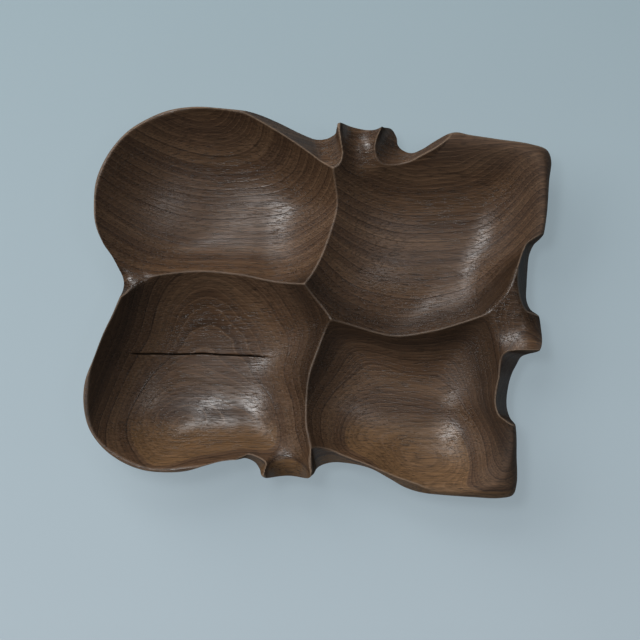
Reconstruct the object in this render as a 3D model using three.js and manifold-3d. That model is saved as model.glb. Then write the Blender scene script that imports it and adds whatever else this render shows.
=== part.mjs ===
// A free-form appetizer dish, carved by hand from one plank of dark hardwood.
// Four hollows overlap in a pinwheel and meet in crisp ridges. Three rolled ears and a notch break the rim.
// Lengths are millimetres. +X runs along the grain, +Y across it, +Z up out of the hollows.
import * as THREE from "three";
import { mergeVertices } from "three/addons/utils/BufferGeometryUtils.js";
import Module from "manifold-3d";

const wasm = await Module();
wasm.setup();
const { lerp, smoothstep } = THREE.MathUtils;

// Driving sizes of the plank
const LENGTH = 360; // along the grain
const WIDTH = 301; // across the grain
const THICKNESS = 46; // from the foot to the rim plane
const FOOT_INSET = 50; // foot's edge, in from the plank's sides
const FOOT_SQUARENESS = 2.6; // exponent of the foot's outline: 2 is an ellipse, more is squarer

// Driving sizes of the hollows
const HOLLOW_DEPTH = 34; // rim plane down to the lowest point
const BOWL_CLIMB = 2.7; // exponent of a wall's climb from the lowest point to the lip: evenly round
const PAN_CLIMB = 3.1; // flatter floor, steeper wall

// Rounding of the upper edge
const RIM_ROUND = 1.5; // thin rims of the two round lobes
const EAR_ROUND = 5; // ears, and the scallops beside them
const LIP_WIDTH = 13.5; // rolled lips of the two square corners
const LIP_DEPTH = 9;

// Radii of the gouges that cut the ears
const FINE_GOUGE = 8;
const MIDDLE_GOUGE = 11;
const BROAD_GOUGE = 18;
const SWEEP_GOUGE = 27;
const CHANNEL_FLARE = 42; // a channel over an ear starts this wide in its hollow
const DRAWN_IN = 0.6; // and is drawn in to its gouge's radius over this share of its way
const RUN_IN = 25; // a straight cut starts this far up in the air
const RUN_OUT = 60; // and leaves the wood by this much

// Fineness of the facets
const STEPS_PER_POINT = 2; // along the plank's outline, between two of its points
const BELLY_STEPS = 6;
const ROUND_STEPS = 3;
const LIP_STEPS = 60;
const WALL_STEPS = 8;
const GOUGE_SIDES = 16; // for half a turn
const CHANNEL_STEPS = 12;

// A place on the plank: plan in per cent of its half length and half width,
// height as a drop below the rim plane in per cent of the hollows' depth.
function place([along, across, drop = 0]) {
  return new THREE.Vector3(
    (along / 100) * (LENGTH / 2),
    (across / 100) * (WIDTH / 2),
    THICKNESS - (drop / 100) * HOLLOW_DEPTH,
  );
}

// Plank outline, counterclockwise seen from above, with the rounding of its upper edge
const THIN_EDGE = new THREE.Vector3(RIM_ROUND, RIM_ROUND);
const EAR_EDGE = new THREE.Vector3(EAR_ROUND, EAR_ROUND);
const LIP_EDGE = new THREE.Vector3(LIP_WIDTH, LIP_DEPTH);
const OUTLINE = [
  // lower left lobe, from the notch in the left side
  { edge: THIN_EDGE, through: [
    [-83.1, 10.2], [-86.5, -2.6], [-91.7, -15.9], [-95.5, -27.7], [-99.3, -40], [-99.9, -51.7],
    [-97.7, -63.5], [-92.1, -73.3], [-84.4, -80.4], [-75, -85], [-65.1, -86.3], [-56.1, -85.6],
    [-47.5, -82.7],
  ] },
  // lower ear between its scallops
  { edge: EAR_EDGE, through: [
    [-40.3, -80.7], [-32.1, -80.4], [-27.4, -82.5], [-24.8, -87.1], [-23.1, -89.1], [-12.8, -89.9],
    [-4.7, -90.2], [-2.6, -88.1], [0.6, -85.4], [6, -83.6], [14.6, -83.2], [23.1, -85.6],
  ] },
  // lower right corner
  { edge: LIP_EDGE, through: [
    [31.3, -91.2], [38.6, -96.3], [48, -97.8], [65.1, -99.4], [78, -100], [83.5, -98.4],
    [85.2, -92.7], [85.2, -77.9], [85.1, -67.1],
  ] },
  // right ear between its scallops
  { edge: EAR_EDGE, through: [
    [83.8, -55], [84.3, -46.2], [85.6, -38], [88, -32.6], [89.6, -28.2], [93.4, -26.1],
    [96.4, -20], [97, -12.8], [95.9, -6.1], [92.5, -2.6], [91, 2.3], [92.2, 9.7], [93.2, 17.5],
    [93.8, 25.3],
  ] },
  // upper right corner
  { edge: LIP_EDGE, through: [
    [96.4, 33.3], [98.1, 45.1], [99.2, 63], [100, 73.3], [98.1, 78.6], [90.8, 81.7], [78, 84],
    [65.1, 86.3], [58.6, 87.6],
  ] },
  // upper ear between its scallops
  { edge: EAR_EDGE, through: [
    [50.6, 83.6], [45.5, 80], [40.7, 78.2], [37, 80.3], [35.2, 83.4], [35, 88.5], [32.8, 92.6],
    [24.4, 89.1], [15.5, 91], [10.3, 92.2], [8.4, 91.7], [7.7, 88.1], [6.2, 87.2], [3.6, 86.2],
    [-0.4, 86], [-8, 88.6],
  ] },
  // upper left lobe, back to the notch
  { edge: THIN_EDGE, through: [
    [-17.3, 93.5], [-27, 97.1], [-39.8, 99.1], [-52.7, 100], [-63.8, 98.1], [-73.7, 93.2],
    [-81.8, 86.8], [-89.5, 75.8], [-94.4, 63], [-95.5, 51.7], [-94.9, 40.5], [-91.7, 30.7],
    [-87, 22],
  ] },
];

// Hollows: lowest point, climb, and the oval in which the wall would reach the rim plane.
// Where two ovals overlap, the walls cross lower down and leave a ridge.
const HOLLOWS = [
  { // upper left
    low: [-25.3, 51.2, 100],
    climb: BOWL_CLIMB,
    lip: [
      [16, 51.2], [6.8, 69.6], [-5.1, 81.5], [-18, 90.2], [-34.3, 97.3], [-56.5, 98.4],
      [-82.7, 84], [-95.1, 51.2], [-86.5, 15.9], [-54.1, 8], [-34.1, 5.3], [-15.7, 2.6], [4.6, 7],
      [14, 28.6],
    ],
  },
  { // upper right
    low: [60, 30.7, 100],
    climb: BOWL_CLIMB,
    lip: [
      [94.2, 30.7], [96.8, 51.7], [90, 75.3], [69.8, 81.5], [50.1, 81.5], [27.8, 78.9], [0.6, 65],
      [-5, 30.7], [-4.6, -6.2], [22.2, -25.8], [49.4, -24.2], [69, -16.7], [80.6, -0.2],
      [87, 15.4],
    ],
  },
  { // lower left
    low: [-41.5, -35.9, 100],
    climb: PAN_CLIMB,
    lip: [
      [4.9, -35.9], [11.8, -5.1], [-7.3, 15.5], [-29.9, 25], [-53.4, 26.8], [-75.9, 15.2],
      [-88.7, -8.7], [-97.2, -35.9], [-95.1, -66.6], [-73.7, -83.5], [-50.5, -83], [-33, -82.5],
      [-11.1, -82], [2.1, -60.8],
    ],
  },
  { // lower right
    low: [42.4, -53.3, 100],
    climb: PAN_CLIMB,
    lip: [
      [81.4, -53.3], [84.8, -28.7], [77.7, -0.4], [51.6, -5.1], [33.7, -7.3], [8.4, -2],
      [-11.2, -22.3], [-15.9, -53.3], [0, -77.9], [20.1, -86.6], [35.1, -93.2], [50.5, -95.8],
      [68.5, -92.2], [81, -75.3],
    ],
  },
];

// Straight gouge cuts beside the ears: the floor of each runs down and out between two places
const CUTS = [
  { radius: MIDDLE_GOUGE, from: [6.2, 69.7, 31], to: [1.6, 90, 78] }, // upper ear, left wall
  { radius: MIDDLE_GOUGE, from: [3.5, 73.5, 23], to: [-19.7, 95.8, 40] }, // upper left shoulder
  { radius: BROAD_GOUGE, from: [29.4, 69.2, 36], to: [38.2, 88.1, 81] }, // upper ear, right wall
  { radius: MIDDLE_GOUGE, from: [41, 80, 26], to: [51, 86.8, 21] }, // upper right shoulder
  { radius: SWEEP_GOUGE, from: [86.9, 13.3, 35], to: [91.6, 13.3, 79] }, // above the right ear
  { radius: SWEEP_GOUGE, from: [77, -39.4, 26], to: [82.8, -41.5, 71] }, // below the right ear
  { radius: MIDDLE_GOUGE, from: [79.5, -31.4, 35], to: [86.5, -32.4, 62] }, // right ear, lower wall
  { radius: FINE_GOUGE, from: [1.8, -76.5, 40], to: [3.8, -87, 79] }, // lower ear, right wall
  { radius: MIDDLE_GOUGE, from: [4.8, -79.5, 35], to: [28.7, -95.3, 56] }, // lower right shoulder
  { radius: FINE_GOUGE, from: [-26.1, -79.9, 32], to: [-29.1, -84, 65] }, // lower ear, left wall
];

// Channels over the ears and the notch: the floor leaves a hollow, crests and rolls over the edge
const CHANNELS = [
  { radius: BROAD_GOUGE, floor: [
    [26.6, 41.5, 62], [22.3, 64.6, 41], [19.1, 82, 28], [19.3, 93.7, 53], [19.3, 104, 94],
  ] }, // upper ear
  { radius: SWEEP_GOUGE, floor: [
    [58.7, -28.2, 65], [76.2, -16.9, 41], [88.2, -11.8, 31], [99.4, -11.3, 59], [107.1, -11.3, 100],
  ] }, // right ear
  { radius: BROAD_GOUGE, floor: [
    [-20.1, -45.6, 71], [-15.8, -67.6, 48], [-13.7, -80.9, 35], [-12.8, -92.7, 60], [-12.8, -100.9, 97],
  ] }, // lower ear
  { radius: MIDDLE_GOUGE, floor: [
    [-60.8, 25.1, 43], [-73.7, 17.4, 27], [-81.4, 12.8, 18], [-86.1, 10.2, 28], [-90.8, 8.2, 47],
  ] }, // notch
];

// A closed skin from a point at the bottom, through rings of equal count, to a point at the top
function loft(bottom, rings, top) {
  const count = rings[0].length;
  const last = rings.length - 1;
  const spot = (ring, k) => 1 + ring * count + (k % count);
  const index = [];
  for (let k = 0; k < count; k += 1) {
    index.push(0, spot(0, k + 1), spot(0, k));
    for (let ring = 0; ring < last; ring += 1) {
      index.push(spot(ring, k), spot(ring, k + 1), spot(ring + 1, k + 1));
      index.push(spot(ring, k), spot(ring + 1, k + 1), spot(ring + 1, k));
    }
    index.push(spot(last, k), spot(last, k + 1), 1 + rings.length * count);
  }
  const geometry = new THREE.BufferGeometry().setFromPoints([bottom, ...rings.flat(), top]);
  geometry.setIndex(index);
  return geometry;
}

function solid(geometry) {
  geometry.deleteAttribute("normal");
  geometry.deleteAttribute("uv");
  const merged = mergeVertices(geometry);
  const mesh = new wasm.Mesh({
    numProp: 3,
    vertProperties: new Float32Array(merged.attributes.position.array),
    triVerts: new Uint32Array(merged.index.array),
  });
  return new wasm.Manifold(mesh);
}

// The foot's edge in the same direction from the middle as a point of the outline
function footBelow(point) {
  const turn = Math.atan2(point.y / WIDTH, point.x / LENGTH);
  const cos = Math.cos(turn);
  const sin = Math.sin(turn);
  const sum = Math.abs(cos) ** FOOT_SQUARENESS + Math.abs(sin) ** FOOT_SQUARENESS;
  const reach = 1 / sum ** (1 / FOOT_SQUARENESS);
  return new THREE.Vector3(
    (LENGTH / 2 - FOOT_INSET) * cos * reach,
    (WIDTH / 2 - FOOT_INSET) * sin * reach,
    0,
  );
}

// The plank shaped on the outside: flat foot, rounded belly, and an upper edge rolled in to the rim plane
function plank() {
  const corners = OUTLINE.flatMap(({ through }) => through.map(place));
  const edges = OUTLINE.flatMap(({ edge, through }) => through.map(() => edge));
  const side = new THREE.CatmullRomCurve3(corners, true);
  const rounding = new THREE.CatmullRomCurve3(edges, true);
  const count = corners.length * STEPS_PER_POINT;
  const ring = (shape) => Array.from({ length: count }, (_, i) => {
    return shape(side.getPoint(i / count), rounding.getPoint(i / count));
  });
  const rings = [];
  for (let i = 0; i <= BELLY_STEPS; i += 1) {
    const turn = ((i / BELLY_STEPS) * Math.PI) / 2;
    rings.push(ring((rim, round) => {
      const point = footBelow(rim).lerp(rim, Math.sin(turn));
      return point.setZ((THICKNESS - round.y) * (1 - Math.cos(turn)));
    }));
  }
  for (let i = 1; i <= ROUND_STEPS; i += 1) {
    const turn = ((i / ROUND_STEPS) * Math.PI) / 2;
    rings.push(ring((rim, round) => {
      const radius = Math.hypot(rim.x, rim.y);
      const inward = 1 - (round.x * (1 - Math.cos(turn))) / radius;
      const drop = round.y * (1 - Math.sin(turn));
      return new THREE.Vector3(rim.x * inward, rim.y * inward, THICKNESS - drop);
    }));
  }
  return solid(loft(new THREE.Vector3(), rings, new THREE.Vector3(0, 0, THICKNESS)));
}

// The air in one hollow, carried on past the lip to clear the plank
function hollow({ low, climb, lip }) {
  const bottom = place(low);
  const oval = new THREE.CatmullRomCurve3(lip.map(place), true).getPoints(LIP_STEPS).slice(0, -1);
  const rings = [];
  for (let i = 1; i <= WALL_STEPS + 2; i += 1) {
    const way = i / WALL_STEPS;
    rings.push(oval.map((point) => {
      const height = HOLLOW_DEPTH * way ** climb;
      return bottom.clone().lerp(point, way).setZ(bottom.z + height);
    }));
  }
  const above = bottom.clone().setZ(THICKNESS + HOLLOW_DEPTH);
  return solid(loft(bottom, rings, above));
}

// Directions at a point of a gouge's run: level to its side, and up out of its floor
function frameOf(run) {
  const side = new THREE.Vector3(-run.y, run.x, 0).normalize();
  const up = new THREE.Vector3().crossVectors(run, side);
  return { side, up };
}

// The air over a straight cut: round floor, upright walls
function cut({ radius, from, to }) {
  const inner = place(from);
  const outer = place(to);
  const run = outer.clone().sub(inner).normalize();
  const { side, up } = frameOf(run);
  const section = new THREE.Shape().absarc(0, radius, radius, Math.PI, Math.PI * 2);
  section.lineTo(radius, THICKNESS + RUN_IN);
  section.lineTo(-radius, THICKNESS + RUN_IN);
  const depth = RUN_IN + inner.distanceTo(outer) + RUN_OUT;
  const options = { depth, curveSegments: GOUGE_SIDES / 2, bevelEnabled: false };
  const start = inner.clone().addScaledVector(run, -RUN_IN);
  const stance = new THREE.Matrix4().makeBasis(side, up, run).setPosition(start);
  return solid(new THREE.ExtrudeGeometry(section, options).applyMatrix4(stance));
}

// The air over a channel: wide where it leaves its hollow, drawn in to the gouge's radius at the edge
function channel({ radius, floor }) {
  const path = new THREE.CatmullRomCurve3(floor.map(place));
  const centres = [];
  const rings = [];
  for (let i = 0; i <= CHANNEL_STEPS; i += 1) {
    const way = i / CHANNEL_STEPS;
    const { side, up } = frameOf(path.getTangent(way));
    const reach = lerp(CHANNEL_FLARE, radius, smoothstep(way, 0, DRAWN_IN));
    const centre = path.getPoint(way).addScaledVector(up, reach);
    centres.push(centre);
    rings.push(Array.from({ length: 2 * GOUGE_SIDES }, (_, k) => {
      const turn = (k / GOUGE_SIDES) * Math.PI;
      const out = side.clone().multiplyScalar(Math.cos(turn)).addScaledVector(up, Math.sin(turn));
      return centre.clone().addScaledVector(out, reach);
    }));
  }
  return solid(loft(centres[0], rings, centres[CHANNEL_STEPS]));
}

function carvedBody() {
  const removed = [...HOLLOWS.map(hollow), ...CUTS.map(cut), ...CHANNELS.map(channel)];
  return removed.reduce((body, air) => body.subtract(air), plank());
}

function toGeometry(body) {
  const { vertProperties, triVerts } = body.getMesh();
  const geometry = new THREE.BufferGeometry();
  geometry.setAttribute("position", new THREE.BufferAttribute(vertProperties, 3));
  geometry.setIndex(new THREE.BufferAttribute(triVerts, 1));
  geometry.computeVertexNormals();
  return geometry;
}

const oiledWood = new THREE.MeshStandardMaterial({ color: 0x5c4232, roughness: 0.5, metalness: 0 });

const dishBody = new THREE.Mesh(toGeometry(carvedBody()), oiledWood);
dishBody.name = "dish_body";

const dish = new THREE.Group();
dish.name = "appetizer_dish";
dish.add(dishBody);

export default dish;
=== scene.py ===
"""A free-form appetizer dish, carved by hand from one plank of dark, oiled hardwood.

The plank has a flat foot, a round belly and a rolled upper edge. Four hollows overlap in a pinwheel and
meet in ridges. Three ears with gouged channels and a notch break the rim. The wood is one plank, so its
growth rings run on from hollow to hollow.
"""
from functools import reduce

import bmesh
import bpy
import numpy as np
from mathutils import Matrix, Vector
from mathutils.geometry import delaunay_2d_cdt


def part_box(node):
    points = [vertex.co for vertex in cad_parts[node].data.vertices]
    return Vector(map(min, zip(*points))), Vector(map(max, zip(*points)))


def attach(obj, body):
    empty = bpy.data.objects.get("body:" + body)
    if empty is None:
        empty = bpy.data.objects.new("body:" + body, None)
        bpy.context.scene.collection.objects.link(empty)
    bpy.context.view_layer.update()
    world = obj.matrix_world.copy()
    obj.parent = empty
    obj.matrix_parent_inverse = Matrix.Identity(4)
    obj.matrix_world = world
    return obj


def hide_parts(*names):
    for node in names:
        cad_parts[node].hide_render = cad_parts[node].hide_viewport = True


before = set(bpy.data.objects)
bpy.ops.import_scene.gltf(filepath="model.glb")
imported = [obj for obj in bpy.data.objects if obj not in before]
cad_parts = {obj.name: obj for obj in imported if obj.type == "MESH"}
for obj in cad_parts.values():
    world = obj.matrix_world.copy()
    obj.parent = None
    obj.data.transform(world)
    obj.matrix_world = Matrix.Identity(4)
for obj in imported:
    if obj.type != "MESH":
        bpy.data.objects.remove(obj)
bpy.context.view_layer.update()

# The carving is worked out in millimetres, the scene in metres
MM = 0.001

# Sizes of the plank, from the frame
_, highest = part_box("dish_body")
HALF_LENGTH = highest.x / MM
HALF_WIDTH = highest.y / MM
THICKNESS = highest.z / MM

# Foot and hollows
FOOT_INSET = 50.0  # foot's edge, in from the plank's sides
FOOT_SQUARENESS = 2.6  # exponent of the foot's outline: 2 is an ellipse, more is squarer
HOLLOW_DEPTH = 34.0  # rim plane down to the lowest point
BOWL_CLIMB = 2.7  # exponent of a wall's climb from the lowest point to the lip: evenly round
PAN_CLIMB = 3.1  # flatter floor, steeper wall

# Rounding of the upper edge: width, depth, and the height over which it melts into the hollow's wall
THIN_EDGE = (1.5, 1.5, 1.0)  # thin rims of the round lobes, and of the shoulder beside the lower ear
EAR_EDGE = (5.0, 5.0, 1.5)  # ears, and the scallops beside them
LIP_EDGE = (20.0, 10.0, 14.0)  # rolled lips of the two square corners

# Radii of the gouges that cut the ears
FINE_GOUGE = 8.0
MIDDLE_GOUGE = 11.0
BROAD_GOUGE = 18.0
SWEEP_GOUGE = 27.0

# Paths of the gouges
CHANNEL_FLARE = 42.0  # a channel has this radius where it starts, in its hollow
DRAWN_IN = 0.6  # and is drawn in to its gouge's radius over this share of its way
CHANNEL_REACH = 46.0  # it cuts nothing farther than this from its middle line
FADE_IN = 0.3  # it leaves its hollow's wall over this share of its way
FADE_DROP = 9.0  # and starts this far above its floor line
RUN_IN = 25.0  # a straight stroke starts this far before its first place
WALL_SLOPE = 7.0  # climb of a gouge's walls above its round floor

# Climb of a cut's left and right side, seen along it from the dish's inside
WALLS = (WALL_SLOPE, WALL_SLOPE)
EASY_LEFT = (0.95, WALL_SLOPE)
BRISK_LEFT = (1.3, WALL_SLOPE)
BRISK_RIGHT = (WALL_SLOPE, 1.7)
WING_LEFT = (0.12, WALL_SLOPE)

# How far hands and use have eased the edges, as the height over which two surfaces melt together
RIDGE_EASE = 1.1
CHANNEL_EASE = 3.0
SCALLOP_EASE = 10.0
RIM_ZONE = (20.0, 40.0)  # in from the side: the rim's own ease fades out between these

# Fineness of the carved surface: spacing of its points on plain walls, near edges, and on edges
PLAIN_SPACING = 2.4
NEAR_SPACING = 1.2
EDGE_SPACING = 0.6
STEEP_SLOPE = 1.5  # walls steeper than this count as edges
SHARP_BEND = 0.35  # and so do places that stand out this far from the wood round them
BEND_CELLS = 2  # lattice cells from such a place to the wood it is measured against
EDGE_CELLS = 1  # lattice cells round an edge that are as fine as it; inside the rim, twice as many
NEAR_CELLS = 3  # lattice cells round an edge that are still near it
EDGE_HALVINGS = 16  # steps to find where the carved side meets the belly
BELLY_RINGS = 14  # rows of points from the edge down to the foot
CURVE_STEPS = 12  # points on each span of a curve

# Points nearer than these are one: in plan, to the trimmed edge, along it, and down the belly
SAME_POINT = 1e-5
ON_EDGE = 1e-4
EDGE_WELD = EDGE_SPACING / 4
BELLY_WELD = 0.2

# Smoothing, and wear with a painted highlight on the edges
SHARP_ANGLE = 50.0  # degrees: faces that meet more sharply aren't smoothed into each other
WEAR_AND_HIGHLIGHT_REACH = 0.7  # a place is worn, and gets a painted highlight, where it stands above a ring of this radius round it
WEAR_AND_HIGHLIGHT_PLACES = 8  # places in that ring
WEAR_AND_HIGHLIGHT_START = 0.03  # height above it from which wear and painted highlight show
WEAR_AND_HIGHLIGHT_SPAN = 0.22  # further height over which it grows full
CLEAR_OF_BELLY = 0.3  # only the carved side, this far above the belly, is worn and gets the painted highlight

# Plank outline, counterclockwise seen from above, in per cent of the half length and half width
OUTLINE = [
    # lower left lobe, from the notch in the left side
    (THIN_EDGE, [
        (-83.1, 10.2), (-86.5, -2.6), (-91.7, -15.9), (-95.5, -27.7), (-99.3, -40), (-99.9, -51.7),
        (-97.7, -63.5), (-92.1, -73.3), (-84.4, -80.4), (-75, -85), (-65.1, -86.3), (-56.1, -85.6),
        (-47.5, -82.7),
    ]),
    # lower ear between its scallops
    (EAR_EDGE, [
        (-40.3, -80.7), (-32.1, -80.4), (-27.4, -82.5), (-24.8, -87.1), (-23.1, -89.1), (-12.8, -89.9),
        (-4.7, -90.2), (-2.6, -88.1), (0.6, -85.4), (6, -83.6), (14.6, -83.2),
    ]),
    # shoulder beside it
    (THIN_EDGE, [(23.1, -85.6), (31.3, -91.2), (38.6, -96.3)]),
    # lower right corner
    (LIP_EDGE, [
        (48, -97.8), (65.1, -99.4), (78, -100), (83.5, -98.4), (85.2, -92.7), (85.2, -77.9),
        (85.1, -67.1),
    ]),
    # right ear between its scallops
    (EAR_EDGE, [
        (83.8, -55), (84.3, -46.2), (85.6, -38), (88, -32.6), (89.6, -28.2), (93.4, -26.1),
        (96.4, -20), (97, -12.8), (95.9, -6.1), (92.5, -2.6), (91, 2.3), (92.2, 9.7), (93.2, 17.5),
        (93.8, 25.3),
    ]),
    # upper right corner
    (LIP_EDGE, [
        (96.4, 33.3), (98.1, 45.1), (99.2, 63), (100, 73.3), (98.1, 78.6), (90.8, 81.7), (78, 84),
        (65.1, 86.3), (58.6, 87.6),
    ]),
    # upper ear between its scallops
    (EAR_EDGE, [
        (50.6, 83.6), (45.5, 80), (40.7, 78.2), (37, 80.3), (35.2, 83.4), (35, 88.5), (32.8, 92.6),
        (24.4, 89.1), (15.5, 91), (10.3, 92.2), (8.4, 91.7), (7.7, 88.1), (6.2, 87.2), (3.6, 86.2),
        (-0.4, 86), (-8, 88.6),
    ]),
    # upper left lobe, back to the notch
    (THIN_EDGE, [
        (-17.3, 93.5), (-27, 97.1), (-39.8, 99.1), (-52.7, 100), (-63.8, 98.1), (-73.7, 93.2),
        (-81.8, 86.8), (-89.5, 75.8), (-94.4, 63), (-95.5, 51.7), (-94.9, 40.5), (-91.7, 30.7),
        (-87, 22),
    ]),
]

# Hollows: lowest point, climb, and the oval in which the wall would reach the rim plane
HOLLOWS = [
    # upper left
    ((-25.3, 51.2), BOWL_CLIMB, [
        (16, 51.2), (6.8, 69.6), (-5.1, 81.5), (-18, 90.2), (-34.3, 97.3), (-56.5, 98.4),
        (-82.7, 84), (-95.1, 51.2), (-86.5, 15.9), (-54.1, 8), (-34.1, 5.3), (-15.7, 2.6),
        (0.5, 10.5), (11.3, 30),
    ]),
    # upper right
    ((60, 30.7), BOWL_CLIMB, [
        (94.2, 30.7), (96.8, 51.7), (90, 75.3), (69.8, 81.5), (50.1, 81.5), (27.8, 78.9),
        (0.6, 65), (-8.5, 30.7), (-9, -3.5), (18, -31), (46, -27), (69, -16.7),
        (80.6, -0.2), (87, 15.4),
    ]),
    # lower left
    ((-41.5, -35.9), PAN_CLIMB, [
        (4.9, -35.9), (11.8, -5.1), (-7.3, 15.5), (-29.9, 25), (-53.4, 26.8), (-75.9, 15.2),
        (-88.7, -8.7), (-97.2, -35.9), (-95.1, -66.6), (-73.7, -83.5), (-50.5, -83), (-33, -82.5),
        (-11.1, -82), (2.1, -60.8),
    ]),
    # lower right
    ((42.4, -53.3), PAN_CLIMB, [
        (81.4, -53.3), (84.8, -28.7), (77.7, -0.4), (51.6, -5.1), (33.7, -7.3), (-3, -4),
        (-11.2, -22.3), (-15.9, -53.3), (0, -77.9), (20.1, -86.6), (35.1, -93.2), (50.5, -95.8),
        (68.5, -92.2), (81, -75.3),
    ]),
]

# Scallops beside the ears, each of one or two straight strokes whose floor runs between two places; a
# side that climbs gently runs out into a shoulder.
# A place's third number is the drop below the rim plane, in per cent of the hollows' depth.
SCALLOPS = [
    # left of the upper ear
    [(MIDDLE_GOUGE, BRISK_LEFT, (6.2, 69.7, 8), (0.6, 90, 78))],
    # right of the upper ear
    [(BROAD_GOUGE, BRISK_RIGHT, (29.4, 69.2, 30), (38.2, 88.1, 81))],
    # above the right ear
    [(SWEEP_GOUGE, WALLS, (86.9, 13.3, 35), (91.6, 13.3, 79))],
    # below the right ear: the sweep and the ear's wall
    [
        (SWEEP_GOUGE, WALLS, (77, -39.4, 38), (82.8, -41.5, 71)),
        (MIDDLE_GOUGE, BRISK_RIGHT, (79.5, -31.4, 40), (86.5, -32.4, 62)),
    ],
    # right of the lower ear
    [(MIDDLE_GOUGE, EASY_LEFT, (3.5, -76.5, 36), (5.5, -87, 79))],
    # left of the lower ear
    [(FINE_GOUGE, WALLS, (-26.1, -79.9, 32), (-29.1, -84, 65))],
]

# Channels over the ears and the notch: the floor leaves a hollow, crests and rolls over the edge
CHANNELS = [
    # upper ear
    (BROAD_GOUGE, WALLS, [
        (26.6, 41.5, 62), (22.3, 64.6, 41), (19.1, 82, 28), (19.3, 93.7, 53), (19.3, 104, 94),
    ]),
    # right ear
    (SWEEP_GOUGE, WING_LEFT, [
        (58.7, -28.2, 65), (76.2, -16.9, 41), (88.9, -11.8, 31), (98.9, -11.3, 60), (107.1, -11.3, 100),
    ]),
    # lower ear
    (BROAD_GOUGE, WALLS, [
        (-20.1, -45.6, 71), (-15.8, -67.6, 48), (-13.7, -80.9, 35), (-12.8, -92.7, 60),
        (-12.8, -100.9, 97),
    ]),
    # notch
    (MIDDLE_GOUGE, WALLS, [
        (-60.8, 25.1, 43), (-73.7, 17.4, 27), (-81.4, 12.8, 18), (-86.1, 10.2, 28), (-90.8, 8.2, 47),
    ]),
]

# Drying check: a crack along the grain in the lower left hollow
CHECK_FROM = (-83.5, -25.7)
CHECK_TO = (-14.0, -27.8)
CHECK_HALF_WIDTH = 0.75
CHECK_DEPTH = 2.2
CHECK_TAPER = 0.22  # share of its length over which it closes at its right end
CHECK_BLUNTNESS = 3  # its left end closes this many times faster
CHECK_CLOSED = 0.05  # least share of its width
CHECK_SWAYS = [(0.5, 9), (0.25, 23)]  # width and pace of its wander to both sides


def place(spot):
    """Millimetres from the per cent of half length and half width, with a height if a drop is given."""
    along, across, *drop = spot
    point = [along / 100 * HALF_LENGTH, across / 100 * HALF_WIDTH]
    if drop:
        point.append(THICKNESS - drop[0] / 100 * HOLLOW_DEPTH)
    return np.array(point)


def smoothstep(value, low, high):
    share = np.clip((value - low) / (high - low), 0, 1)
    return share * share * (3 - 2 * share)


def curve_through(points, closed):
    """Points along a smooth curve, CURVE_STEPS for each span between two of the given points.

    The spans are paced by the square root of their length, so the curve makes no loop at close points.
    """
    if closed:
        spans = [np.roll(points, turn, axis=0) for turn in (1, 0, -1, -2)]
    else:
        ends = (2 * points[0] - points[1], 2 * points[-1] - points[-2])
        padded = np.vstack([ends[0], points, ends[1]])
        spans = [padded[:-3], padded[1:-2], padded[2:-1], padded[3:]]
    before, start, end, after = spans
    gap_in, gap, gap_out = (
        np.sqrt(np.linalg.norm(b - a, axis=1, keepdims=True))
        for a, b in ((before, start), (start, end), (end, after))
    )
    leave = gap * ((start - before) / gap_in - (end - before) / (gap_in + gap) + (end - start) / gap)
    arrive = gap * ((end - start) / gap - (after - start) / (gap + gap_out) + (after - end) / gap_out)
    square = 3 * (end - start) - 2 * leave - arrive
    cube = 2 * (start - end) + leave + arrive
    steps = np.arange(CURVE_STEPS) / CURVE_STEPS
    path = [start + leave * t + square * t**2 + cube * t**3 for t in steps]
    path = np.stack(path, axis=1).reshape(-1, points.shape[1])
    return path if closed else np.vstack([path, points[-1]])


def polar(x, y):
    return np.hypot(x, y), np.arctan2(y, x)


class Round:
    """A closed line round a middle point, as its reach in every direction, with other values along it."""

    def __init__(self, line, middle, **values):
        reach, turn = polar(*(line - middle).T)
        order = np.argsort(turn)
        self.middle = middle
        self.turn = turn[order]
        self.reach = reach[order]
        self.values = {name: value[order] for name, value in values.items()}

    def at(self, turn, name=None):
        value = self.values[name] if name else self.reach
        return np.interp(turn, self.turn, value, period=2 * np.pi)


def outline_round():
    corners = np.array([place(spot) for _, through in OUTLINE for spot in through])
    edges = np.array([edge for edge, through in OUTLINE for _ in through])
    share = np.arange(len(corners) * CURVE_STEPS) / CURVE_STEPS
    width, depth, ease = (
        np.interp(share, np.arange(len(edges) + 1), np.append(side, side[0])) for side in edges.T
    )
    line = curve_through(corners, closed=True)
    return Round(line, np.zeros(2), width=width, depth=depth, ease=ease)


def lip_round(low, lip):
    return Round(curve_through(np.array([place(spot) for spot in lip]), closed=True), place(low))


SIDE = outline_round()
LIPS = [lip_round(low, lip) for low, _, lip in HOLLOWS]
CLIMBS = [climb for _, climb, _ in HOLLOWS]


def foot_reach(turn):
    along = np.abs(np.cos(turn) / (HALF_LENGTH - FOOT_INSET)) ** FOOT_SQUARENESS
    across = np.abs(np.sin(turn) / (HALF_WIDTH - FOOT_INSET)) ** FOOT_SQUARENESS
    return (along + across) ** (-1 / FOOT_SQUARENESS)


def plank_top(x, y):
    """Rim plane with its rolled upper edge."""
    radius, turn = polar(x, y)
    inset = SIDE.at(turn) - radius
    share = np.clip(1 - inset / SIDE.at(turn, "width"), 0, 1)
    return THICKNESS - SIDE.at(turn, "depth") * (1 - np.sqrt(1 - share**2))


def belly(x, y):
    """Underside of the plank: flat foot and round belly; it climbs steeply outside the outline."""
    radius, turn = polar(x, y)
    foot = foot_reach(turn)
    side = SIDE.at(turn)
    share = np.clip((radius - foot) / (side - foot), 0, 1)
    round_part = (THICKNESS - SIDE.at(turn, "depth")) * (1 - np.sqrt(1 - share**2))
    return round_part + WALL_SLOPE * np.maximum(radius - side, 0)


def hollow(lip, climb, x, y):
    radius, turn = polar(x - lip.middle[0], y - lip.middle[1])
    way = radius / lip.at(turn)
    return THICKNESS - HOLLOW_DEPTH + HOLLOW_DEPTH * way**climb


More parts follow.
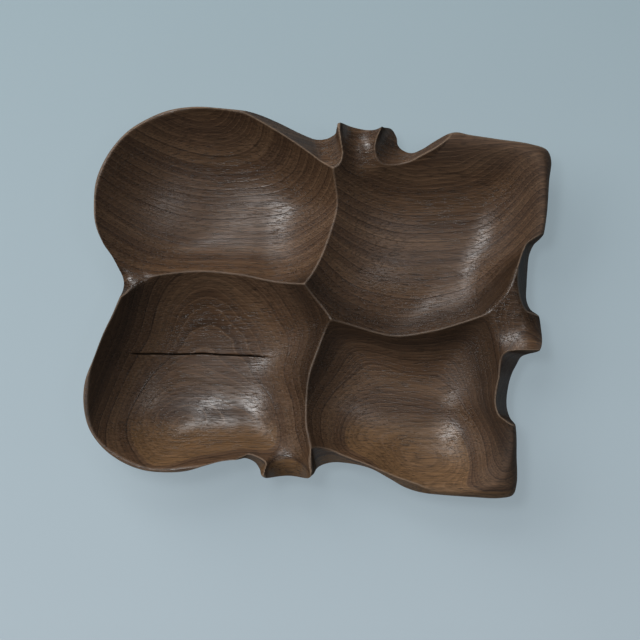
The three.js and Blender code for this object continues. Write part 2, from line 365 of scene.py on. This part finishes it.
def gouge(radius, sides, offset):
    """Height of a gouge's round floor and straight sides, this far to the left of its middle line."""
    slope = np.where(offset > 0, *sides)
    offset = np.abs(offset)
    floor_edge = radius * slope / np.hypot(1, slope)
    floor = radius - np.sqrt(radius**2 - np.minimum(offset, floor_edge) ** 2)
    return floor + slope * np.maximum(offset - floor_edge, 0)


def along_and_left(start, run, x, y):
    """How far a spot lies along a line from its start and to the line's left, times the run's length."""
    along = (x - start[0]) * run[0] + (y - start[1]) * run[1]
    left = (y - start[1]) * run[0] - (x - start[0]) * run[1]
    return along, left


def straight_cut(cut, x, y):
    """Height of a gouge's straight stroke from an inner to an outer place."""
    radius, sides, inner, outer = cut
    inner, outer = place(inner), place(outer)
    run = outer - inner
    length = np.hypot(run[0], run[1])
    along, left = along_and_left(inner, run, x, y)
    along = along / length
    lean = run[2] / length
    height = inner[2] + along * lean + gouge(radius, sides, left / length) / np.hypot(1, lean)
    return height + WALL_SLOPE * np.maximum(-along - RUN_IN, 0)


def channel(cut, x, y):
    """Height of a channel whose bowed floor leaves a hollow and runs out over the rim."""
    radius, sides, floor = cut
    path = curve_through(np.array([place(spot) for spot in floor]), closed=False)
    start, end = path[0], path[-1]
    run = (end - start)[:2] / np.hypot(*(end - start)[:2])
    path_along, path_left = along_and_left(start, run, *path[:, :2].T)
    way = np.linspace(0, 1, len(path))
    reach = CHANNEL_FLARE + (radius - CHANNEL_FLARE) * smoothstep(way, 0, DRAWN_IN)
    lifted = path[:, 2] + FADE_DROP * (1 - smoothstep(way, 0, FADE_IN))
    along, left = along_and_left(start, run, x, y)
    offset = left - np.interp(along, path_along, path_left)
    walls = gouge(np.interp(along, path_along, reach), sides, offset)
    beyond = np.maximum(-along, 0) + np.maximum(np.abs(offset) - CHANNEL_REACH, 0)
    return np.interp(along, path_along, lifted) + walls + WALL_SLOPE * beyond


def melt(first, second, ease):
    """The lower of two surfaces, eased where they cross."""
    shared = np.maximum(ease - np.abs(first - second), 0)
    return np.minimum(first, second) - shared**2 / (4 * ease)


def melt_all(surfaces, ease):
    return reduce(lambda lowest, other: melt(lowest, other, ease), surfaces)


def check_depth(x, y):
    """Depth of the drying check: a groove that wanders a little and closes at both ends."""
    start, end = place(CHECK_FROM), place(CHECK_TO)
    run = end - start
    length = np.hypot(*run)
    along, left = along_and_left(start, run, x, y)
    share = along / length**2
    offset = left / length
    for width, pace in CHECK_SWAYS:
        offset = offset + width * np.sin(pace * share)
    opening = smoothstep(share, 0, CHECK_TAPER / CHECK_BLUNTNESS) * smoothstep(1 - share, 0, CHECK_TAPER)
    half_width = CHECK_HALF_WIDTH * np.maximum(opening, CHECK_CLOSED)
    return CHECK_DEPTH * opening * np.maximum(1 - np.abs(offset) / half_width, 0)


def rim_ease(x, y):
    """Height over which the rolled edge melts into the hollows: the edge's own, fading out inwards."""
    radius, turn = polar(x, y)
    away = smoothstep(SIDE.at(turn) - radius, *RIM_ZONE)
    return SIDE.at(turn, "ease") * (1 - away) + RIDGE_EASE * away


def carved(x, y):
    """Height of the carved side, without the drying check."""
    bowl = melt_all([hollow(lip, climb, x, y) for lip, climb in zip(LIPS, CLIMBS)], RIDGE_EASE)
    for cut in CHANNELS:
        bowl = melt(bowl, channel(cut, x, y), CHANNEL_EASE)
    top = melt(plank_top(x, y), bowl, rim_ease(x, y))
    for strokes in SCALLOPS:
        scallop = melt_all([straight_cut(stroke, x, y) for stroke in strokes], SCALLOP_EASE)
        top = melt(top, scallop, RIDGE_EASE)
    return top


def wood_left(x, y):
    """Wood between the carved side and the belly; less than nothing outside the dish."""
    return carved(x, y) - belly(x, y)


def spread(mask, cells):
    """Widen a mask of lattice cells by this many cells each way."""
    wide = mask.copy()
    for _ in range(cells):
        wide[1:] |= wide[:-1].copy()
        wide[:-1] |= wide[1:].copy()
        wide[:, 1:] |= wide[:, :-1].copy()
        wide[:, :-1] |= wide[:, 1:].copy()
    return wide


def plan_points():
    """Points of the carved side in plan: a lattice that is finer along edges and on steep walls."""
    margin = 2 * PLAIN_SPACING
    xs = np.arange(-HALF_LENGTH - margin, HALF_LENGTH + margin, EDGE_SPACING)
    ys = np.arange(-HALF_WIDTH - margin, HALF_WIDTH + margin, EDGE_SPACING)
    x, y = np.meshgrid(xs, ys, indexing="ij")
    top = carved(x, y) - check_depth(x, y)
    inside = top > belly(x, y)
    steep = np.hypot(*np.gradient(top, EDGE_SPACING)) > STEEP_SLOPE
    bend = 4 * top
    for axis in (0, 1):
        for step in (-BEND_CELLS, BEND_CELLS):
            bend = bend - np.roll(top, step, axis)
    wood = spread(inside, NEAR_CELLS)
    rim = spread(inside, EDGE_CELLS) & spread(~inside, 2 * EDGE_CELLS)
    fine = (spread(np.abs(bend) > SHARP_BEND, EDGE_CELLS) | steep | rim) & wood
    near = spread(fine, NEAR_CELLS) & wood
    stride = round(PLAIN_SPACING / EDGE_SPACING)
    half = round(NEAR_SPACING / EDGE_SPACING)
    keep = fine.copy()
    keep[::half, ::half] |= near[::half, ::half]
    keep[::stride, ::stride] |= wood[::stride, ::stride]
    return np.stack([x[keep], y[keep]], axis=1)


def plan_of(verts):
    return np.array([vert.co[:2] for vert in verts]).T


def on_boundary(items):
    return [item for item in items if item.is_boundary]


def settled_edge(x, y):
    """Points of the trimmed edge, moved in or out to where the carved side truly meets the belly."""
    radius, turn = polar(x, y)
    ray = np.array([np.cos(turn), np.sin(turn)])
    inner = radius - EDGE_SPACING
    outer = np.minimum(radius + EDGE_SPACING, SIDE.at(turn))
    met = wood_left(*inner * ray) > 0
    for _ in range(EDGE_HALVINGS):
        middle = (inner + outer) / 2
        wood = wood_left(*middle * ray) > 0
        inner = np.where(wood, middle, inner)
        outer = np.where(wood, outer, middle)
    return np.where(met, outer, radius) * ray


def flat_sheet():
    """The carved side in plan, as triangles trimmed to the edge of the wood."""
    points = [Vector(point) for point in plan_points()]
    flat, _, faces, *_ = delaunay_2d_cdt(points, [], [], 0, SAME_POINT)
    flat = np.array([tuple(point) for point in flat])
    thick = wood_left(*flat.T)
    sheet = bmesh.new()
    verts = [sheet.verts.new((*point, height)) for point, height in zip(flat, thick)]
    for face in faces:
        if max(thick[corner] for corner in face) > 0:
            sheet.faces.new([verts[corner] for corner in face])
    bmesh.ops.bisect_plane(
        sheet, geom=[*sheet.verts, *sheet.edges, *sheet.faces], dist=ON_EDGE,
        plane_co=(0, 0, 0), plane_no=(0, 0, 1), clear_inner=True,
    )
    loose = [vert for vert in sheet.verts if not vert.link_faces]
    bmesh.ops.delete(sheet, geom=loose, context="VERTS")
    for vert in sheet.verts:
        vert.co.z = 0
    bmesh.ops.remove_doubles(sheet, verts=on_boundary(sheet.verts), dist=EDGE_WELD)
    return sheet


def carved_sheet():
    """The carved side as a sheet of triangles that ends where it meets the belly."""
    sheet = flat_sheet()
    edge = on_boundary(sheet.verts)
    for vert, spot in zip(edge, settled_edge(*plan_of(edge)).T):
        vert.co.xy = spot
    plan = plan_of(sheet.verts)
    for vert, height in zip(sheet.verts, carved(*plan) - check_depth(*plan)):
        vert.co.z = height
    return sheet


def belly_ring(ring, x, y):
    """Places on the belly of points that come down from the edge to this ring, towards the middle."""
    radius, turn = polar(x, y)
    foot = foot_reach(turn)
    side = SIDE.at(turn)
    level = np.pi / 2 * (1 - ring / BELLY_RINGS)
    share = np.clip((radius - foot) / (side - foot), 0, 1)
    lean = np.minimum(np.arcsin(share), level)
    radius = np.where(ring == BELLY_RINGS, foot, foot + (side - foot) * np.sin(lean))
    height = (THICKNESS - SIDE.at(turn, "depth")) * (1 - np.cos(lean))
    return np.stack([radius * np.cos(turn), radius * np.sin(turn), height], axis=1)


def add_belly(sheet):
    """Carry the sheet's edge down the belly, ring by ring, and close it with the flat foot."""
    edges = on_boundary(sheet.edges)
    welded = on_boundary(sheet.verts)
    for ring in range(1, BELLY_RINGS + 1):
        made = bmesh.ops.extrude_edge_only(sheet, edges=edges)["geom"]
        fresh = [item for item in made if isinstance(item, bmesh.types.BMVert)]
        edges = [item for item in made if isinstance(item, bmesh.types.BMEdge)]
        for vert, spot in zip(fresh, belly_ring(ring, *plan_of(fresh))):
            vert.co = spot
        welded += fresh
    bmesh.ops.edgeloop_fill(sheet, edges=edges)
    bmesh.ops.remove_doubles(sheet, verts=welded, dist=BELLY_WELD)
    bmesh.ops.recalc_face_normals(sheet, faces=sheet.faces)


def wear_and_highlight_at(x, y):
    """How worn a spot is, and how strong its painted highlight: 1 or more on a ridge that stands out, 0 or
    less on a plain wall.
    """
    turns = 2 * np.pi * np.arange(WEAR_AND_HIGHLIGHT_PLACES) / WEAR_AND_HIGHLIGHT_PLACES
    ring = WEAR_AND_HIGHLIGHT_REACH * np.array([np.cos(turns), np.sin(turns)]).T
    around = sum(carved(x + along, y + across) for along, across in ring) / WEAR_AND_HIGHLIGHT_PLACES
    return (carved(x, y) - around - WEAR_AND_HIGHLIGHT_START) / WEAR_AND_HIGHLIGHT_SPAN


def mark(mesh, name, values):
    """Keep a value from 0 to 1 at each point of the mesh."""
    layer = mesh.attributes.new(name, "FLOAT", "POINT")
    layer.data.foreach_set("value", np.clip(values, 0, 1).astype(np.float32))


def mark_use(mesh, x, y, height):
    """Mark the worn ridges with their painted highlight, the open drying check for its painted shade, and
    the lips that hands hold.
    """
    *_, lip_ease = LIP_EDGE
    carved_side = height > belly(x, y) + CLEAR_OF_BELLY
    mark(mesh, "wear_and_highlight", np.where(carved_side, wear_and_highlight_at(x, y), 0))
    mark(mesh, "crack", check_depth(x, y) / CHECK_DEPTH)
    mark(mesh, "handled", (rim_ease(x, y) - RIDGE_EASE) / (lip_ease - RIDGE_EASE))


def carve_dish():
    """The whole dish as one closed mesh, with marks for its wood."""
    sheet = carved_sheet()
    add_belly(sheet)
    spots = np.array([vert.co[:] for vert in sheet.verts])
    bmesh.ops.scale(sheet, vec=(MM, MM, MM), verts=sheet.verts)
    mesh = bpy.data.meshes.new("carved_dish")
    sheet.to_mesh(mesh)
    sheet.free()
    for polygon in mesh.polygons:
        polygon.use_smooth = True
    mesh.set_sharp_from_angle(angle=np.radians(SHARP_ANGLE))
    mark_use(mesh, *spots.T)
    dish = bpy.data.objects.new("carved_dish", mesh)
    bpy.context.scene.collection.objects.link(dish)
    return dish


# Sockets of a colour mix: its share, its two colours and its result
MIX_SHARE, MIX_FIRST, MIX_SECOND, MIX_RESULT = 0, 6, 7, 2
NEW_STOP = 0.5  # where a ramp's new stop waits for its own position


class Nodes:
    """A short way to write a material's node tree."""

    def __init__(self, name):
        self.material = bpy.data.materials.new(name)
        self.material.use_nodes = True
        self.tree = self.material.node_tree
        self.shader = self.tree.nodes["Principled BSDF"]

    def add(self, kind, inputs=None, **settings):
        node = self.tree.nodes.new("ShaderNode" + kind)
        for name, value in settings.items():
            setattr(node, name, value)
        for name, value in (inputs or {}).items():
            self.feed(node, name, value)
        return node

    def feed(self, node, name, value):
        """Set a socket to a constant, or link it to another node's result."""
        if isinstance(value, bpy.types.NodeSocket):
            self.tree.links.new(value, node.inputs[name])
        else:
            node.inputs[name].default_value = value

    def math(self, operation, *values):
        inputs = dict(enumerate(values))
        return self.add("Math", inputs, operation=operation).outputs[0]

    def plus(self, first, second):
        return self.math("ADD", first, second)

    def minus(self, first, second):
        return self.math("SUBTRACT", first, second)

    def times(self, first, second):
        return self.math("MULTIPLY", first, second)

    def larger(self, first, second):
        return self.math("MAXIMUM", first, second)

    def share(self, value, low, high):
        """How far a value has come from low to high: 0 at low, 1 at high."""
        inputs = {"Value": value, "From Min": low, "From Max": high}
        return self.add("MapRange", inputs).outputs["Result"]

    def axes(self, vector):
        return self.add("SeparateXYZ", {"Vector": vector}).outputs

    def marked(self, name):
        """A value that was kept at the mesh's points."""
        return self.add("Attribute", attribute_name=name).outputs["Fac"]

    def noise(self, vector, grain, detail, roughness=0.5):
        """Noise with this many grains a metre along the wood, across it and up through it."""
        stretched = self.add("Mapping", {"Vector": vector, "Scale": grain}).outputs["Vector"]
        inputs = {"Vector": stretched, "Scale": 1.0, "Detail": detail, "Roughness": roughness}
        return self.add("TexNoise", inputs).outputs["Fac"]

    def ramp(self, value, stops):
        """The colour that belongs to a value, between stops; a stop's single number is a grey."""
        node = self.add("ValToRGB", {"Fac": value})
        elements = node.color_ramp.elements
        while len(elements) < len(stops):
            elements.new(NEW_STOP)
        for element, (position, colour) in zip(elements, stops):
            element.position = position
            element.color = colour if isinstance(colour, tuple) else (colour, colour, colour, 1)
        return node.outputs["Color"]

    def mix(self, share, first, second, blend="MIX"):
        node = self.add("Mix", data_type="RGBA", blend_type=blend)
        self.feed(node, MIX_SHARE, share)
        self.feed(node, MIX_FIRST, first)
        self.feed(node, MIX_SECOND, second)
        return node.outputs[MIX_RESULT]


# Growth rings: cylinders round the tree's heart, which runs along the grain above the open side
HEART_ACROSS = -0.035
HEART_HEIGHT = 0.165
HEART_LEAN = 0.051  # climb of the heart along the grain
RING_SPACING = 0.0034
RING_SWAY = 0.004
NOISE_MEAN = 0.5  # a noise sways to both sides of this
FINE_RINGS = 3.7  # fainter lines in each ring's width
FAINT_RING = 0.35  # strength of the faintest ring's late line
YEARS = 0.55  # changes between darker and paler wood in each ring's width

# Strength of a line across a ring's width, from the heart's side outwards
LATE_LINE = [(0, 0), (0.60, 0), (0.80, 0.12), (0.91, 1), (0.96, 0)]
EARLY_LINE = [(0, 0.5), (0.12, 0.3), (0.35, 0)]
FINE_LINE = [(0, 0), (0.5, 0.1), (0.85, 1), (1, 0)]
PALE_ARC = [(0, 0.8), (0.1, 0.35), (0.2, 0)]

# Strength of the lines and of the arcs by how nearly the surface runs along the rings
LINES_BY_CUT = [(0.88, 1), (0.98, 0.35)]
ARCS_BY_CUT = [(0.84, 0), (0.94, 1)]

# Grains of the wood's noises: along the wood, across it and up through it
SWAY_GRAIN = (5, 14, 14)
BREAK_GRAIN = (25, 60, 60)
CLOUD_GRAIN = (8, 20, 20)
FIBRE_GRAIN = (16, 800, 800)
PORE_GRAIN = (110, 1300, 1300)

# What the noises do: late lines fade in and out, clouds and streaks shade the wood, pores open
BREAKS = [(0.35, 0.55), (0.55, 1)]
CLOUDS = [(0.3, 0.85), (0.7, 1.15)]
STREAKS = [(0.3, 0.62), (0.7, 1.32)]
PORES = [(0.55, 0), (0.63, 1)]

# Darker band at this distance from the heart, and painted shade on the left and right walls by how far
# they face along the grain, partly also oil soaked into their end grain
BAND_ZONE = (0.115, 0.150)  # from the heart
BAND = [(0.1, 1), (0.4, 0.55), (0.7, 0.55), (0.95, 1)]
END_GRAIN_AND_WALL_SHADE = [(0.15, 1), (0.6, 0.74)]  # by how far the surface faces along the grain

# Paler, warmer wood in the walls along the lower edge: partly outer wood, partly painted light on these
# walls, which face the lamp
OUTER_AND_LIT_WOOD = 0.1568  # from the heart
OUTER_AND_LIT_FADE = 0.0006
OUTER_AND_LIT_EDGE = -0.088  # across the grain
OUTER_AND_LIT_EDGE_FADE = 0.012

# Colours of the oiled wood
PALE_WOOD = (0.112, 0.063, 0.034, 1)
MIDDLE_WOOD = (0.080, 0.043, 0.023, 1)
DARK_WOOD = (0.060, 0.032, 0.018, 1)
TAN_AND_LIT_WOOD = (0.135, 0.074, 0.034, 1)
EARLY_WOOD = (0.150, 0.088, 0.050, 1)
LATE_WOOD = (0.018, 0.010, 0.006, 1)
PORE_DARK_AND_CRACK_SHADE = (0.013, 0.008, 0.005, 1)  # also painted shade in the drying check
# worn wood, and a painted highlight on the ridges
WORN_AND_LIT_WOOD = (0.26, 0.185, 0.13, 1)
WOOD_BY_YEARS = [(0.25, DARK_WOOD), (0.5, MIDDLE_WOOD), (0.75, PALE_WOOD)]
SHADE_BY_OPENING = [(0.02, 0), (0.35, 1)]  # painted shade in the drying check

# Strength of the colours
LATE_SHOWS = 0.92
FINE_SHOWS = 0.22
PORE_SHOWS = 0.55
WEAR_AND_HIGHLIGHT_SHOWS = 0.5

# Oil finish: polished on the floors, dull on steep walls, by how far the surface faces up
DULL_BY_TILT = [(0.35, 1), (0.75, 0)]
SHEEN_BY_TILT = [(0.35, 0.12), (0.75, 0.6)]
CLOUD_IN_POLISH = 0.6  # share of the clouds in the patches of the polish; fibres make up the rest
POLISH = [(0.35, 0.19), (0.62, 0.37)]  # roughness of those patches
DULL_ROUGHNESS = (0.75, 0.75, 0.75, 1)

# Relief of the grain
FIBRE_RELIEF = 0.4
PORE_RELIEF = 0.5
LATE_RELIEF = 0.5
RELIEF = {"Strength": 0.35, "Distance": 0.0006}


def tree_rings(nodes, spot, normal):
    """Distance from the tree's heart, and how nearly the surface runs along the rings there."""
    axes = nodes.axes(spot)
    across = nodes.minus(axes["Y"], HEART_ACROSS)
    below = nodes.minus(axes["Z"], HEART_HEIGHT)
    squares = nodes.plus(nodes.times(across, across), nodes.times(below, below))
    sway = nodes.minus(nodes.noise(spot, SWAY_GRAIN, detail=3.0), NOISE_MEAN)
    heart = nodes.plus(nodes.math("SQRT", squares), nodes.times(sway, RING_SWAY))
    heart = nodes.minus(heart, nodes.times(axes["X"], HEART_LEAN))
    inward = {"Y": nodes.math("DIVIDE", across, heart), "Z": nodes.math("DIVIDE", below, heart)}
    inward = nodes.add("CombineXYZ", inward).outputs[0]
    facing = nodes.add("VectorMath", {0: normal, 1: inward}, operation="DOT_PRODUCT")
    return heart, nodes.math("ABSOLUTE", facing.outputs["Value"])


def ring_lines(nodes, spot, rings, flat_cut):
    """Strength of the rings' dark late lines, of their pale early wood and of the fine lines between."""
    phase = nodes.math("FRACT", rings)
    clear = nodes.ramp(flat_cut, LINES_BY_CUT)
    chance = nodes.add("TexWhiteNoise", {"W": nodes.math("FLOOR", rings)}, noise_dimensions="1D")
    strength = nodes.plus(FAINT_RING, nodes.times(chance.outputs["Value"], 1 - FAINT_RING))
    late = nodes.times(nodes.ramp(phase, LATE_LINE), strength)
    late = nodes.times(late, clear)
    late = nodes.times(late, nodes.ramp(nodes.noise(spot, BREAK_GRAIN, detail=2.0), BREAKS))
    fine_phase = nodes.math("FRACT", nodes.times(rings, FINE_RINGS))
    arcs = nodes.times(nodes.ramp(fine_phase, PALE_ARC), nodes.ramp(flat_cut, ARCS_BY_CUT))
    early = nodes.larger(nodes.times(nodes.ramp(phase, EARLY_LINE), clear), arcs)
    return late, early, nodes.ramp(fine_phase, FINE_LINE)


def plank_colour(nodes, spot, heart, rings):
    """Colour between the lines: darker and paler years, and paler wood along the lower edge, partly outer
    wood and partly painted light.
    """
    years = nodes.add("TexNoise", {"W": rings, "Scale": YEARS, "Detail": 3.0}, noise_dimensions="1D")
    wood = nodes.ramp(years.outputs["Fac"], WOOD_BY_YEARS)
    outer = nodes.share(heart, OUTER_AND_LIT_WOOD, OUTER_AND_LIT_WOOD + OUTER_AND_LIT_FADE)
    edge = nodes.share(nodes.axes(spot)["Y"], OUTER_AND_LIT_EDGE, OUTER_AND_LIT_EDGE - OUTER_AND_LIT_EDGE_FADE)
    # paler, warmer lower walls: partly outer wood, partly painted light
    return nodes.mix(nodes.times(outer, edge), wood, TAN_AND_LIT_WOOD)


def shaded(nodes, wood, heart, fibre, cloud, normal):
    """The wood with its dark band, streaks, clouds, and painted shade on the walls that face along the
    grain, partly also oil soaked into their end grain.
    """
    band = nodes.ramp(nodes.share(heart, *BAND_ZONE), BAND)
    # painted shade on the walls that face along the grain, partly also oil soaked into their end grain
    wall_shade = nodes.ramp(nodes.math("ABSOLUTE", nodes.axes(normal)["X"]), END_GRAIN_AND_WALL_SHADE)
    for level in (band, nodes.ramp(fibre, STREAKS), nodes.ramp(cloud, CLOUDS), wall_shade):
        wood = nodes.mix(1.0, wood, level, "MULTIPLY")
    return wood


def set_finish(nodes, normal, fibre, cloud, wear_and_highlight):
    """Oil rubbed into the wood: it shines on the floors, less where the wood is steep, held or worn."""
    upward = nodes.axes(normal)["Z"]
    used = nodes.larger(nodes.marked("handled"), wear_and_highlight)
    dull = nodes.larger(nodes.ramp(upward, DULL_BY_TILT), used)
    patches = nodes.plus(nodes.times(cloud, CLOUD_IN_POLISH), nodes.times(fibre, 1 - CLOUD_IN_POLISH))
    polish = nodes.ramp(patches, POLISH)
    nodes.feed(nodes.shader, "Roughness", nodes.mix(dull, polish, DULL_ROUGHNESS))
    nodes.feed(nodes.shader, "Specular IOR Level", nodes.ramp(upward, SHEEN_BY_TILT))


def set_relief(nodes, fibre, pore, late):
    """Fine bumps: raised fibres and late lines, and sunken pores."""
    height = nodes.minus(nodes.times(fibre, FIBRE_RELIEF), nodes.times(pore, PORE_RELIEF))
    height = nodes.plus(height, nodes.times(late, LATE_RELIEF))
    nodes.feed(nodes.shader, "Normal", nodes.add("Bump", {"Height": height, **RELIEF}).outputs["Normal"])


def oiled_wood():
    nodes = Nodes("oiled_wood")
    spot = nodes.add("TexCoord").outputs["Object"]
    normal = nodes.add("TexCoord").outputs["Normal"]
    heart, flat_cut = tree_rings(nodes, spot, normal)
    rings = nodes.math("DIVIDE", heart, RING_SPACING)
    late, early, fine = ring_lines(nodes, spot, rings, flat_cut)
    fibre = nodes.noise(spot, FIBRE_GRAIN, detail=4.0, roughness=0.65)
    cloud = nodes.noise(spot, CLOUD_GRAIN, detail=3.0)
    pore = nodes.ramp(nodes.noise(spot, PORE_GRAIN, detail=2.0, roughness=0.55), PORES)
    wear_and_highlight = nodes.marked("wear_and_highlight")
    wood = plank_colour(nodes, spot, heart, rings)
    wood = nodes.mix(early, wood, EARLY_WOOD)
    wood = nodes.mix(nodes.times(late, LATE_SHOWS), wood, LATE_WOOD)
    wood = nodes.mix(nodes.times(fine, FINE_SHOWS), wood, LATE_WOOD)
    wood = shaded(nodes, wood, heart, fibre, cloud, normal)
    wood = nodes.mix(nodes.times(pore, PORE_SHOWS), wood, PORE_DARK_AND_CRACK_SHADE)
    # worn ridges, paler also as a painted highlight where they catch the light
    wood = nodes.mix(nodes.times(wear_and_highlight, WEAR_AND_HIGHLIGHT_SHOWS), wood, WORN_AND_LIT_WOOD)
    # painted shade inside the open drying check
    wood = nodes.mix(nodes.ramp(nodes.marked("crack"), SHADE_BY_OPENING), wood, PORE_DARK_AND_CRACK_SHADE)
    nodes.feed(nodes.shader, "Base Color", wood)
    set_finish(nodes, normal, fibre, cloud, wear_and_highlight)
    set_relief(nodes, fibre, pore, late)
    return nodes.material


dish = carve_dish()
dish.data.materials.append(oiled_wood())
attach(dish, "root")
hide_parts("dish_body")


# Stage: a pale sheet with painted shade that darkens it a little from its near side to its far side
FLOOR_NEAR = (0.435, 0.52, 0.575, 1)
FLOOR_FAR_SHADED = (0.33, 0.42, 0.465, 1)
FLOOR_REACH = 0.25  # from the dish's middle to where each of the two colours is full
FLOOR_HALF = 10.0  # half the sheet's length and width
FLOOR_ROUGHNESS = 0.8
FLOOR_GLOW = 0.6  # share of the sheet's colour that shows without the lamps, so the shadow stays soft


def floor_paper_with_shade():
    nodes = Nodes("floor_paper_with_shade")
    across = nodes.axes(nodes.add("TexCoord").outputs["Object"])["Y"]
    # painted shade: darker towards the far side
    colour = nodes.mix(nodes.share(across, -FLOOR_REACH, FLOOR_REACH), FLOOR_NEAR, FLOOR_FAR_SHADED)
    nodes.feed(nodes.shader, "Base Color", colour)
    nodes.feed(nodes.shader, "Roughness", FLOOR_ROUGHNESS)
    rays = nodes.add("LightPath").outputs
    seen = nodes.larger(rays["Is Camera Ray"], rays["Is Glossy Ray"])
    seen = nodes.larger(seen, rays["Is Transmission Ray"])
    glow = nodes.add("Emission", {"Color": colour}).outputs[0]
    mixed = nodes.add("MixShader", {0: nodes.times(seen, FLOOR_GLOW), 1: nodes.shader.outputs[0], 2: glow})
    nodes.tree.links.new(mixed.outputs[0], nodes.tree.nodes["Material Output"].inputs["Surface"])
    return nodes.material


def make_floor():
    mesh = bpy.data.meshes.new("floor")
    near, far = -FLOOR_HALF, FLOOR_HALF
    corners = [(near, near, 0), (far, near, 0), (far, far, 0), (near, far, 0)]
    mesh.from_pydata(corners, [], [(0, 1, 2, 3)])
    floor = bpy.data.objects.new("floor", mesh)
    mesh.materials.append(floor_paper_with_shade())
    bpy.context.scene.collection.objects.link(floor)


# Light: soft lamps that face the dish, and a faint blue room
WARM_WHITE = (1, 0.98, 0.95)
COOL_WHITE = (0.97, 0.99, 1)
CREAM = (1, 0.96, 0.9)
ROOM_COLOUR = (0.36, 0.44, 0.49, 1)
ROOM_STRENGTH = 0.12


def soft_lamp(name, at, size, power, colour, mirrored=True):
    """A rectangular lamp; one that isn't mirrored lights the wood without a sheen of its own."""
    data = bpy.data.lights.new(name, "AREA")
    data.shape = "RECTANGLE"
    data.size, data.size_y = size
    data.energy = power
    data.color = colour
    lamp = bpy.data.objects.new(name, data)
    lamp.location = at
    lamp.rotation_euler = (-Vector(at)).to_track_quat("-Z", "Y").to_euler()
    lamp.visible_glossy = mirrored
    bpy.context.scene.collection.objects.link(lamp)


def make_room():
    world = bpy.data.worlds.new("studio")
    world.use_nodes = True
    background = world.node_tree.nodes["Background"]
    background.inputs["Color"].default_value = ROOM_COLOUR
    background.inputs["Strength"].default_value = ROOM_STRENGTH
    bpy.context.scene.world = world


# Camera straight over the open side, as the photograph looks at it
PIXEL = 0.766 * MM  # width of a pixel on the rim plane
IMAGE = 640  # pixels across the picture
CAMERA_ABOVE_RIM = 1.3
CENTRE_PIXEL = (318, 303)  # where the dish's middle shows
SENSOR = 36.0  # width of the film


def make_camera():
    data = bpy.data.cameras.new("camera")
    data.sensor_width = SENSOR
    data.lens = SENSOR * CAMERA_ABOVE_RIM / (IMAGE * PIXEL)
    camera = bpy.data.objects.new("camera", data)
    right = (IMAGE / 2 - CENTRE_PIXEL[0]) * PIXEL
    down = (IMAGE / 2 - CENTRE_PIXEL[1]) * PIXEL
    camera.location = (right, -down, THICKNESS * MM + CAMERA_ABOVE_RIM)
    bpy.context.scene.collection.objects.link(camera)
    bpy.context.scene.camera = camera


make_floor()
soft_lamp("above", at=(-1.45, 1.05, 0.95), size=(2.2, 1.2), power=45, colour=WARM_WHITE, mirrored=False)
soft_lamp("window", at=(-0.3, 1.0, 1.25), size=(0.6, 0.4), power=4, colour=COOL_WHITE)
soft_lamp("front_left", at=(-0.4, 0.33, 1.6), size=(0.4, 0.35), power=7.5, colour=COOL_WHITE)
soft_lamp("front_right", at=(0.65, 0.15, 1.6), size=(0.3, 0.3), power=1.3, colour=COOL_WHITE)
soft_lamp("fill", at=(-0.5, -1.2, 0.6), size=(0.8, 0.5), power=2.0, colour=CREAM, mirrored=False)
make_room()
make_camera()
bpy.context.scene.view_settings.view_transform = "Standard"
